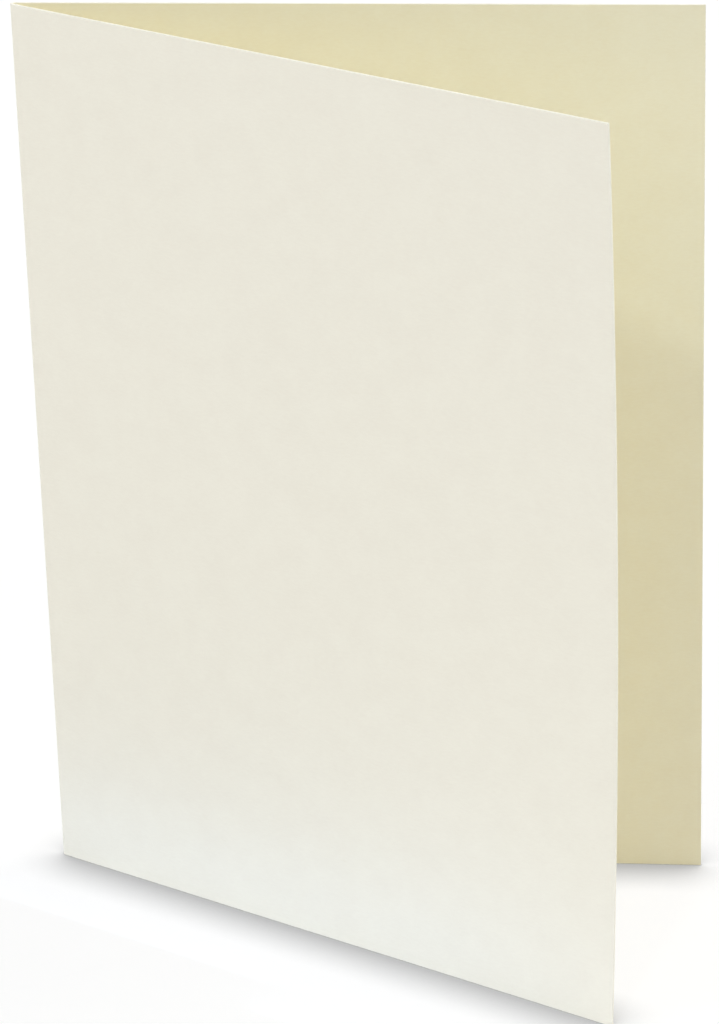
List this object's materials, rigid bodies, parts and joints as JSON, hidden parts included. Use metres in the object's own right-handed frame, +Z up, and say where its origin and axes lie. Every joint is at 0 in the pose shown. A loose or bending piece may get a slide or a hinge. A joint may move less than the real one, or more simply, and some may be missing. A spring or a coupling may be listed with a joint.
{
  "type": "folded note card",
  "caption": "Plain ivory note card of stiff board, creased upright and standing open in a narrow V, with blank panels to write on.",
  "frame": {"origin": "on the surface that the card stands on, in the middle of the box around the card", "axes": "+Z up along the fold; +X from the fold to the mouth, along the line that halves the opening; the front panel is on the -Y side and the back panel on the +Y side"},
  "size_m": [0.1024, 0.052, 0.148],
  "materials": {
    "card": "matte"
  },
  "bodies": {
    "root": {"folded_card": "card"}
  },
  "joints": []
}
